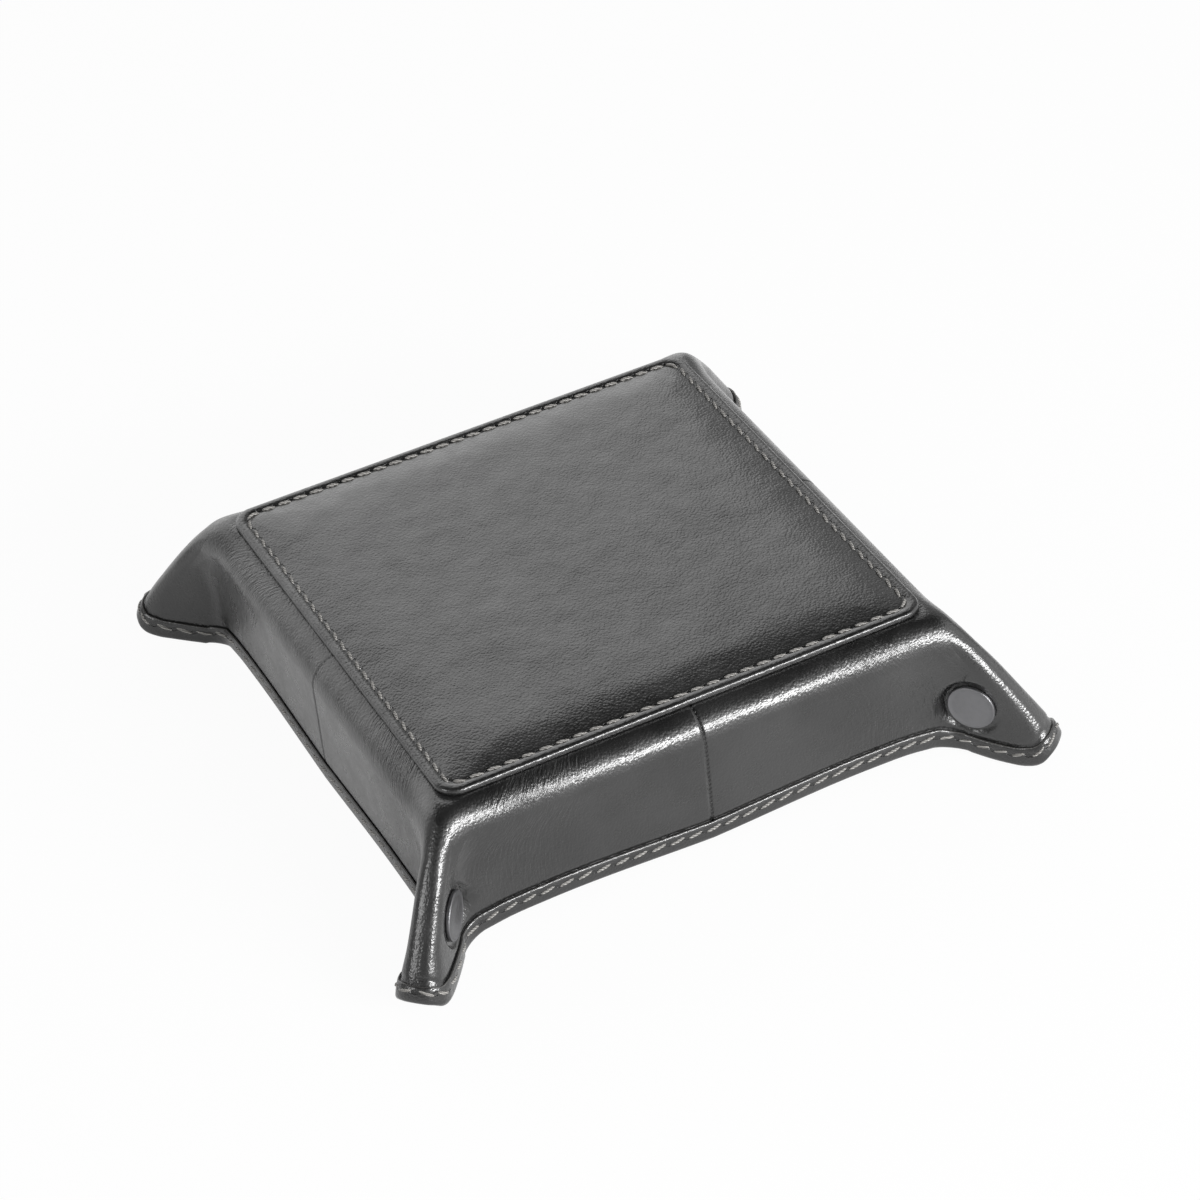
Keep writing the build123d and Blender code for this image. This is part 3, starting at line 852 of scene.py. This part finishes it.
# %% Sole panel
edge_insets = (0.3, 0.02, 0.0, 0.12, 0.45, 0.95, 1.6, 2.2, 2.6, 2.85, 3.0, 3.15, 3.4, 3.8,
               4.4, 5.2, 6.2, 7.5, 9.0, 11.0, 13.5, 17.0, 22.0, 30.0, 40.0, 50.0, 60.0, 64.5)
edge_heights = (0.02, 0.45, 0.95, 1.45, 1.8, 1.93, 1.93, 1.82, 1.64, 1.46, 1.38, 1.42, 1.52, 1.62,
                1.72, 1.84, 1.99, 2.17, 2.36, 2.56, 2.7, 2.77, 2.79, 2.79, 2.79, 2.79, 2.79, 2.79)
seam_inset, seam_depth, seam_pitch, seam_thread_lift = 3.0, 1.38, 4.5, 0.24
seam_stitch_length, seam_thread_tilt, seam_thread_rise = 3.4, 0.34, 0.2
corner_insets = (0.0, 1.0, 2.0, 3.0, 5.0, 8.0, 13.0, 30.0, 65.0)
corner_radii = (5.5, 4.7, 4.1, 3.8, 4.6, 6.5, 9.0, 14.0, 0.3)
straight_steps, round_steps = 84, 12
wave_height, wave_start, wave_run, roundest = 0.035, 6, 10, 0.9


def square_ring(inset):
    """A rounded square at an inset from the panel's edge, with the outward direction."""
    half = panel_half - inset
    radius = min(float(smooth_curve(inset, corner_insets, corner_radii)), half * roundest)
    points = []
    for turn in (0, 90, 180, 270):
        out, along = outward(turn), outward(turn + 90)
        run = half - radius
        for step in range(straight_steps):
            points.append((out * half + along * run * (2 * step / straight_steps - 1), out))
        for step in range(round_steps):
            away = outward(turn + 90 * step / round_steps)
            points.append(((out + along) * run + away * radius, away))
    return points


def sole_wave(x, y):
    """Low waves of a few hundredths of a millimetre, from the pad below the leather."""
    return 0.5 * (math.sin(x / 11.0 + 1.3) * math.sin(y / 14.0 + 0.4)
                  + math.sin(x / 23.0 - y / 17.0))


def make_sole():
    seam = np.array([point for point, _ in square_ring(seam_inset)])
    count = len(seam)
    steps = np.linalg.norm(np.diff(np.vstack([seam, seam[:1]]), axis=0), axis=1)
    marks = np.concatenate([[0], np.cumsum(steps)])
    marks *= round(marks[-1] / seam_pitch) / marks[-1]
    vertices = []
    for inset, height in zip(edge_insets, edge_heights):
        wave = wave_height * min(max((inset - wave_start) / wave_run, 0), 1)
        for point, _ in square_ring(inset):
            z = base_height + height + wave * (sole_wave(*point) - 1)
            vertices.append((point[0] * MM, point[1] * MM, z * MM))
    faces, uvs = skin(len(edge_insets), count,
                      spot=lambda ring, point: (marks[point], edge_insets[ring]))
    uvs += [(0.5, 0.0)] * count + [(0.5, 60.0)] * count
    return mesh_object("sole_panel", vertices, faces, None, uvs)


sole = make_sole()
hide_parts("base_panel", "base_padding")
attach(sole, "base")

seam_points = square_ring(seam_inset)
seam_level = base_height + seam_depth + seam_thread_lift
path = [(np.array((*point, seam_level)), np.array((0, 0, 1.0)), np.array((*away, 0)))
        for point, away in seam_points + seam_points[:1]]
sole_thread = thread_piece("sole_seam_thread", path, seam_pitch, seam_stitch_length,
                           seam_thread_tilt, seam_thread_rise, 0.0)
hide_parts("base_stitching")
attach(sole_thread, "base")
print(sole.name, len(sole.data.polygons), "faces and", sole_thread.name)

# %% [markdown]
# A snap cap is a pressed metal disc. Its rim is rolled over, its face is almost flat, and it
# sits in the leather. Each starts as a cylinder whose top face is inset, raised and bevelled.

# %% Snap caps
cap_radius, cap_thickness, cap_sides, barrel_radius, barrel_length = 6.2, 1.0, 96, 1.5, 1.6
# Inset and lift of each ring on the face, from the rim to the middle.
face_rings = ((0.42, 0.0), (0.16, -0.1), (1.2, -0.02), (1.6, 0.02), (1.6, 0.02))
rim_roll, rim_roll_steps, rim_roll_angle = 0.3, 4, 50


def press_ring(thickness, lift):
    """Insets the selected face of the disc and moves it along the disc's axis."""
    bpy.ops.mesh.inset(thickness=thickness * MM, depth=0)
    bpy.ops.transform.translate(value=(0, 0, lift * MM))


def select_end(disc, direction):
    """Selects the end face of the disc that looks along a direction."""
    bpy.ops.object.mode_set(mode="OBJECT")
    mesh = disc.data
    level = max(p.center.z * direction for p in mesh.polygons)
    for face in mesh.polygons:
        at_end = abs(face.center.z * direction - level) < 1e-6
        face.select = at_end and face.normal.z * direction > 0.9
    chosen = {index for face in mesh.polygons if face.select for index in face.vertices}
    mesh.edges.foreach_set("select", [False] * len(mesh.edges))
    mesh.vertices.foreach_set("select", [v.index in chosen for v in mesh.vertices])
    bpy.ops.object.mode_set(mode="EDIT")
    bpy.ops.mesh.select_mode(type="FACE")


def add_snap_cap(corner, turn, end):
    out, along, _, crease = flap_axes(turn, end)
    normal = out * math.cos(flare_turn) - along * math.sin(flare_turn)
    low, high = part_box(f"{corner}_snap_cap")
    centre = (low + high) / 2
    centre -= normal * (centre - crease * MM).dot(normal)
    bpy.ops.mesh.primitive_cylinder_add(vertices=cap_sides, radius=cap_radius * MM,
                                        depth=cap_thickness * MM)
    disc = bpy.context.active_object
    disc.name = f"{corner}_pressed_cap"
    select_end(disc, 1)
    for inset, lift in face_rings:
        press_ring(inset, lift)
    select_end(disc, -1)
    press_ring(cap_radius - barrel_radius, 0)
    barrel = (0, 0, -barrel_length * MM)
    bpy.ops.mesh.extrude_region_move(TRANSFORM_OT_translate={"value": barrel})
    bpy.ops.object.mode_set(mode="OBJECT")
    bevel = disc.modifiers.new("rolled rim", "BEVEL")
    bevel.width, bevel.segments = rim_roll * MM, rim_roll_steps
    bevel.limit_method, bevel.angle_limit = "ANGLE", math.radians(rim_roll_angle)
    bpy.ops.object.modifier_apply(modifier=bevel.name)
    disc.rotation_euler = Vector((0, 0, 1)).rotation_difference(normal).to_euler()
    disc.location = centre
    bpy.ops.object.transform_apply(location=True, rotation=True, scale=True)
    smooth_by_angle(disc, degrees=40)
    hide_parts(f"{corner}_snap_cap")
    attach(disc, f"{corner}_cap_flap")
    return disc


bpy.ops.object.select_all(action="DESELECT")
caps = [add_snap_cap(corner, *sides["cap"]) for corner, sides in corners.items()]
print([cap.name for cap in caps])

# %% [markdown]
# A material is built from a few nodes at a time. One helper adds a node with its settings
# and its links, so that each recipe reads from top to bottom.

# %% Material helpers
def srgb(text):
    """A hex colour as it is seen, turned to the linear values that a shader needs."""
    parts = [int(text[i : i + 2], 16) / 255 for i in (1, 3, 5)]
    linear = [c / 12.92 if c <= 0.04045 else ((c + 0.055) / 1.055) ** 2.4 for c in parts]
    return (*linear, 1.0)


def new_material(name):
    material = bpy.data.materials.new(name)
    material.use_nodes = True
    tree = material.node_tree
    return material, tree, tree.nodes["Principled BSDF"]


def add_node(tree, kind, settings=None, out=0, **inputs):
    """Adds a node with its settings and links, and returns the output that is asked for.
    An input is a value or another node's output. It is named as its socket, or i and its
    number where sockets share a name."""
    node = tree.nodes.new("ShaderNode" + kind)
    for key, value in (settings or {}).items():
        setattr(node, key, value)
    for key, value in inputs.items():
        numbered = key[0] == "i" and key[1:].isdigit()
        socket = node.inputs[int(key[1:]) if numbered else key.replace("_", " ")]
        if isinstance(value, bpy.types.NodeSocket):
            tree.links.new(value, socket)
        else:
            socket.default_value = value
    return node.outputs[out]


def dress(thing, material):
    thing.data.materials.clear()
    thing.data.materials.append(material)


smooth = {"interpolation_type": "SMOOTHSTEP"}
blend_colors = {"data_type": "RGBA"}
add, subtract, multiply, multiply_add, divide, absolute, power, fraction = (
    {"operation": name} for name in
    ("ADD", "SUBTRACT", "MULTIPLY", "MULTIPLY_ADD", "DIVIDE", "ABSOLUTE", "POWER", "FRACT"))

# %% [markdown]
# Smooth black calf leather with a glazed finish. The pigment is almost black and slightly
# mottled, a clear coat gives a second gloss, and the grain is a net of fine cells with
# shallow creases that break the highlights into a sparkle. Where a seam is sewn, needle holes
# sink into it between the stitches, and are painted near black as painted shade inside them.

# %% Leather
# Needle holes are painted this near black, as painted shade inside them, and sunk by this depth of
# bump.
hole_shade_black, hole_depth = (0.001, 0.001, 0.001, 1), -7.0


def needle_holes(tree, along, across, level, long_half, wide_half, slant):
    """A mask of needle holes: along counts stitches, across is in millimetres."""
    shifted = add_node(tree, "Math", add, i0=along, i1=100.5)
    spot = add_node(tree, "Math", fraction, i0=shifted)
    spot = add_node(tree, "Math", subtract, i0=spot, i1=0.5)
    offset = add_node(tree, "Math", subtract, i0=across, i1=level)
    spot = add_node(tree, "Math", multiply_add, i0=offset, i1=slant, i2=spot)
    squares = []
    for distance, half in ((spot, long_half), (offset, wide_half)):
        share = add_node(tree, "Math", divide, i0=distance, i1=half)
        squares.append(add_node(tree, "Math", power, i0=share, i1=2.0))
    reach = add_node(tree, "Math", add, i0=squares[0], i1=squares[1])
    return add_node(tree, "MapRange", smooth, i0=reach, i1=0.6, i2=1.4, i3=1.0, i4=0.0)


def upright_wrinkles(tree, flat, along):
    """Where the sheet turns at a corner it is pressed into fine upright wrinkles. They grow
    between 24 and 52 mm from mid-wall, and fade round the crease, between 60 and 72 mm."""
    unrolled = add_node(tree, "VectorMath", multiply, i0=flat, i1=(1.35, 0.28, 1.0))
    streaks = add_node(tree, "TexNoise", None, "Fac", Vector=unrolled, Scale=1.0, Detail=3.0,
                       Roughness=0.55, Distortion=0.3)
    far = add_node(tree, "Math", absolute, i0=along)
    share = add_node(tree, "MapRange", smooth, i0=far, i1=24.0, i2=52.0, i3=0.12, i4=1.0)
    ended = add_node(tree, "MapRange", smooth, i0=far, i1=60.0, i2=72.0, i3=1.0, i4=0.15)
    share = add_node(tree, "Math", multiply, i0=share, i1=ended)
    return add_node(tree, "Math", multiply, i0=streaks, i1=share)


def leather(name, roughness=0.3, coat=0.16, grain=1.0, wrinkles=0.0, holes=None, raw_edge=None):
    material, tree, shader = new_material(name)
    place = add_node(tree, "TexCoord", out="Object")
    flat = add_node(tree, "TexCoord", out="UV")
    along = add_node(tree, "SeparateXYZ", out="X", Vector=flat)
    across = add_node(tree, "SeparateXYZ", out="Y", Vector=flat)

    # Grain cells are about 0.7 mm across, pores 0.4 mm, and the loose creases 2 to 5 mm long.
    cells = add_node(tree, "TexVoronoi", None, "Distance", Vector=place, Scale=1400.0)
    cells = add_node(tree, "MapRange", smooth, i0=cells, i1=0.2, i2=0.85, i3=1.0, i4=0.0)
    pores = add_node(tree, "TexNoise", None, "Fac", Vector=place, Scale=2300.0, Detail=0.0)
    stretched = add_node(tree, "VectorMath", multiply, i0=place, i1=(1.0, 0.45, 1.0))
    creases = add_node(tree, "TexNoise", None, "Fac", Vector=stretched, Scale=480.0, Detail=3.0,
                       Roughness=0.5)
    height = add_node(tree, "Math", multiply, i0=pores, i1=0.35)
    height = add_node(tree, "Math", multiply_add, i0=cells, i1=0.5, i2=height)
    height = add_node(tree, "Math", multiply_add, i0=creases, i1=0.6, i2=height)
    if wrinkles:
        streaks = upright_wrinkles(tree, flat, along)
        height = add_node(tree, "Math", multiply_add, i0=streaks, i1=wrinkles, i2=height)

    # The dye is almost black and took a little unevenly. A cut edge shows the grey core.
    cloud = add_node(tree, "TexNoise", None, "Fac", Vector=place, Scale=38.0, Detail=4.0)
    tone = add_node(tree, "MapRange", smooth, i0=cloud, i1=0.35, i2=0.7)
    color = add_node(tree, "Mix", blend_colors, 2, i0=tone, i6=srgb("#141414"), i7=srgb("#262626"))
    if raw_edge:
        pale = add_node(tree, "MapRange", smooth, i0=across, i1=raw_edge - 0.25, i2=raw_edge - 0.05)
        color = add_node(tree, "Mix", blend_colors, 2, i0=pale, i6=color, i7=srgb("#4c4b4a"))
    masks = []
    if holes:
        masks.append(needle_holes(tree, along, across, *holes))
    if wrinkles:
        # The seam at mid-wall is sewn with small stitches, 1.3 mm apart.
        stitches = add_node(tree, "Math", divide, i0=across, i1=1.3)
        masks.append(needle_holes(tree, stitches, along, 0.3, 0.28, 0.34, 0.0))
    # Each needle hole is painted near black, as painted shade inside it, and sunk by the bump.
    for mask in masks:
        color = add_node(tree, "Mix", blend_colors, 2, i0=mask, i6=color, i7=hole_shade_black)
        height = add_node(tree, "Math", multiply_add, i0=mask, i1=hole_depth, i2=height)
    tree.links.new(color, shader.inputs["Base Color"])

    # Handling has rubbed the glaze in patches of about 7 mm. The sheet has low swells, some
    # 17 mm across, below the grain.
    rubbed = add_node(tree, "TexNoise", None, "Fac", Vector=place, Scale=140.0, Detail=4.0,
                      Roughness=0.6)
    rubbed = add_node(tree, "MapRange", smooth, i0=rubbed, i1=0.3, i2=0.7, i3=roughness - 0.06,
                      i4=roughness + 0.1)
    tree.links.new(rubbed, shader.inputs["Roughness"])
    swell = add_node(tree, "TexNoise", None, "Fac", Vector=place, Scale=60.0, Detail=2.0)
    broad = add_node(tree, "Bump", Strength=0.5, Distance=0.0008, Height=swell)
    bump = add_node(tree, "Bump", Strength=1.0, Distance=0.00008 * grain, Height=height,
                    Normal=broad)
    for socket in ("Normal", "Coat Normal"):
        tree.links.new(bump, shader.inputs[socket])
    shader.inputs["Coat Weight"].default_value = 1.0
    shader.inputs["Coat Roughness"].default_value = coat
    return material


# Holes are given by their level, half length in stitches, half width and slant.
fold_leather = leather("black_calf_folded", coat=0.2, grain=0.7, wrinkles=4.4)
sole_leather = leather("black_calf_sole", grain=0.7, holes=(3.0, 0.16, 0.6, 0.12))
plain_leather = leather("black_calf")
binding_leather = leather("binding_calf", roughness=0.36, grain=0.8, raw_edge=5.0,
                          holes=(3.3, 0.14, 0.6, 0.1))
for piece in leather_pieces:
    dress(piece, fold_leather)
dress(sole, sole_leather)
dress(gusset, plain_leather)
for piece in binding_pieces:
    dress(piece, binding_leather)

# %% [markdown]
# Grey waxed thread of two twisted strands. The twist shows as a fine diagonal ripple. It is a
# bump, and it is also painted into the colour as lighter and darker grey bands: painted light
# on the strands and painted shade in the grooves between them. The wax leaves a soft shine.

# %% Thread
def waxed_thread():
    material, tree, shader = new_material("waxed_thread")
    place = add_node(tree, "TexCoord", out="Object")
    ripple = add_node(tree, "TexWave", {"bands_direction": "DIAGONAL"}, "Fac", Vector=place,
                      Scale=520.0, Distortion=1.5)
    # Painted light and shade of the twist: lighter grey on the strands, darker grey in the grooves.
    color = add_node(tree, "Mix", blend_colors, 2, i0=ripple, i6=srgb("#7d7b78"),
                     i7=srgb("#b4b2ae"))
    tree.links.new(color, shader.inputs["Base Color"])
    bump = add_node(tree, "Bump", Strength=0.8, Distance=0.0003, Height=ripple)
    tree.links.new(bump, shader.inputs["Normal"])
    shader.inputs["Roughness"].default_value = 0.5
    return material


thread_look = waxed_thread()
for piece in thread_pieces + [sole_thread]:
    dress(piece, thread_look)

# %% [markdown]
# The snap caps are brushed and burnished gunmetal, so that their rims shine and their faces
# stay satin. What the construction still shows inside gets its own finish: steel snaps,
# grey fibreboard, and a lining of suede, which is split leather with its nap up.

# %% Metal, lining and board
def gunmetal(name, tint, roughness):
    material, tree, shader = new_material(name)
    place = add_node(tree, "TexCoord", out="Object")
    haze = add_node(tree, "TexNoise", None, "Fac", Vector=place, Scale=700.0, Detail=3.0)
    spread = add_node(tree, "MapRange", smooth, i0=haze, i1=0.2, i2=0.8, i3=roughness - 0.06,
                      i4=roughness + 0.08)
    tree.links.new(spread, shader.inputs["Roughness"])
    stretched = add_node(tree, "VectorMath", multiply, i0=place, i1=(1.0, 1.0, 0.1))
    brushing = add_node(tree, "TexNoise", None, "Fac", Vector=stretched, Scale=5200.0, Detail=2.0)
    bump = add_node(tree, "Bump", Strength=0.35, Distance=0.00003, Height=brushing)
    tree.links.new(bump, shader.inputs["Normal"])
    shader.inputs["Base Color"].default_value = srgb(tint)
    shader.inputs["Metallic"].default_value = 1.0
    return material


def suede(name, dark, light, nap):
    """Soft fibres a few tenths of a millimetre long, brushed in patches, and no gloss."""
    material, tree, shader = new_material(name)
    place = add_node(tree, "TexCoord", out="Object")
    fibres = add_node(tree, "TexNoise", None, "Fac", Vector=place, Scale=2600.0, Detail=3.0)
    brushed = add_node(tree, "TexNoise", None, "Fac", Vector=place, Scale=90.0, Detail=3.0,
                       Distortion=0.6)
    tone = add_node(tree, "Math", multiply, i0=brushed, i1=0.5)
    tone = add_node(tree, "Math", multiply_add, i0=fibres, i1=0.5, i2=tone)
    color = add_node(tree, "Mix", blend_colors, 2, i0=tone, i6=srgb(dark), i7=srgb(light))
    tree.links.new(color, shader.inputs["Base Color"])
    bump = add_node(tree, "Bump", Strength=0.6, Distance=0.0001 * nap, Height=fibres)
    tree.links.new(bump, shader.inputs["Normal"])
    shader.inputs["Roughness"].default_value = 0.9
    shader.inputs["Sheen Weight"].default_value = 0.3
    return material


cap_metal = gunmetal("cap_gunmetal", "#868688", 0.42)
for cap in caps:
    dress(cap, cap_metal)
inside_looks = {
    "snap": gunmetal("snap_steel", "#a4a4a6", 0.3),
    "board": suede("grey_fibreboard", "#6b6862", "#8d8980", 0.5),
    "lining": suede("lining_suede", "#1c1b1b", "#3a3837", 1.0),
}
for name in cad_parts:
    thing = bpy.data.objects.get(name)
    if thing is not None:
        looks = [look for word, look in inside_looks.items() if word in name]
        dress(thing, looks[0] if looks else plain_leather)

# %% [markdown]
# The tray stands on white paper in a white studio. The ceiling is darker than the walls, and a
# soft box in front and above draws the long light along the fold of the front wall.

# %% Studio
floor_half = 4.0
bpy.ops.mesh.primitive_plane_add(size=2 * floor_half)
floor = bpy.context.active_object
floor.name = "white_floor"
material, tree, shader = new_material("white_paper")
shader.inputs["Base Color"].default_value = srgb("#fafafa")
shader.inputs["Roughness"].default_value = 0.9
# Seen or mirrored, the paper is white. What is left of its own shading keeps the shadow.
for_camera, for_gloss = 0.95, 0.25
seen = add_node(tree, "LightPath", out="Is Camera Ray")
seen = add_node(tree, "Math", multiply, i0=seen, i1=for_camera)
for ray in ("Is Glossy Ray", "Is Transmission Ray"):
    ray_light = add_node(tree, "LightPath", out=ray)
    seen = add_node(tree, "Math", multiply_add, i0=ray_light, i1=for_gloss, i2=seen)
glow = add_node(tree, "Emission", Color=(1, 1, 1, 1), Strength=1.0)
mix = add_node(tree, "MixShader", i0=seen, i1=shader.outputs["BSDF"], i2=glow)
tree.links.new(mix, tree.nodes["Material Output"].inputs["Surface"])
dress(floor, material)

world = bpy.data.worlds.new("studio")
bpy.context.scene.world = world
world.use_nodes = True
tree = world.node_tree
background = tree.nodes["Background"]
direction = add_node(tree, "TexCoord", out="Generated")
upward = add_node(tree, "SeparateXYZ", out="Z", Vector=direction)
# The walls are white up to 43 degrees, and the ceiling above 52 degrees is dark.
level = add_node(tree, "MapRange", smooth, i0=upward, i1=0.68, i2=0.79, i3=1.12, i4=0.06)
level_way = add_node(tree, "VectorMath", multiply, i0=direction, i1=(1.0, 1.0, 0.0))
level_way = add_node(tree, "VectorMath", {"operation": "NORMALIZE"}, i0=level_way)
# Dark screens stand behind on the right, and on the left. They draw the dark edge of the field.
screens = (((0.84, 0.54, 0.0), 0.87, 0.92), ((-0.98, -0.2, 0.0), 0.35, 0.65))
screen_level = 0.3
for middle, first, last in screens:
    toward = add_node(tree, "VectorMath", {"operation": "DOT_PRODUCT"}, "Value", i0=level_way,
                      i1=middle)
    screen = add_node(tree, "MapRange", smooth, i0=toward, i1=first, i2=last, i3=1.0,
                      i4=screen_level)
    level = add_node(tree, "Math", multiply, i0=level, i1=screen)
# The back wall is a little brighter than the others.
behind = add_node(tree, "SeparateXYZ", out="Y", Vector=direction)
behind = add_node(tree, "MapRange", smooth, i0=behind, i1=0.3, i2=0.7, i3=1.0, i4=1.25)
level = add_node(tree, "Math", multiply, i0=level, i1=behind)
tree.links.new(level, background.inputs["Strength"])
background.inputs["Color"].default_value = (1, 1, 1, 1)


def soft_box(name, direction, distance, size, power):
    """A lamp of a width and height in metres, which looks at the tray from a direction."""
    lamp = bpy.data.lights.new(name, "AREA")
    lamp.shape, lamp.size, lamp.size_y, lamp.energy = "RECTANGLE", size[0], size[1], power
    thing = bpy.data.objects.new(name, lamp)
    bpy.context.collection.objects.link(thing)
    direction = Vector(direction).normalized()
    thing.location = direction * distance
    thing.rotation_euler = direction.to_track_quat("Z", "Y").to_euler()


soft_box("front_box", (0.347, -0.86, 0.375), 1.1, (0.75, 0.17), 10.0)
soft_box("left_box", (-0.9, -0.2, 0.42), 1.1, (0.3, 0.4), 1.6)
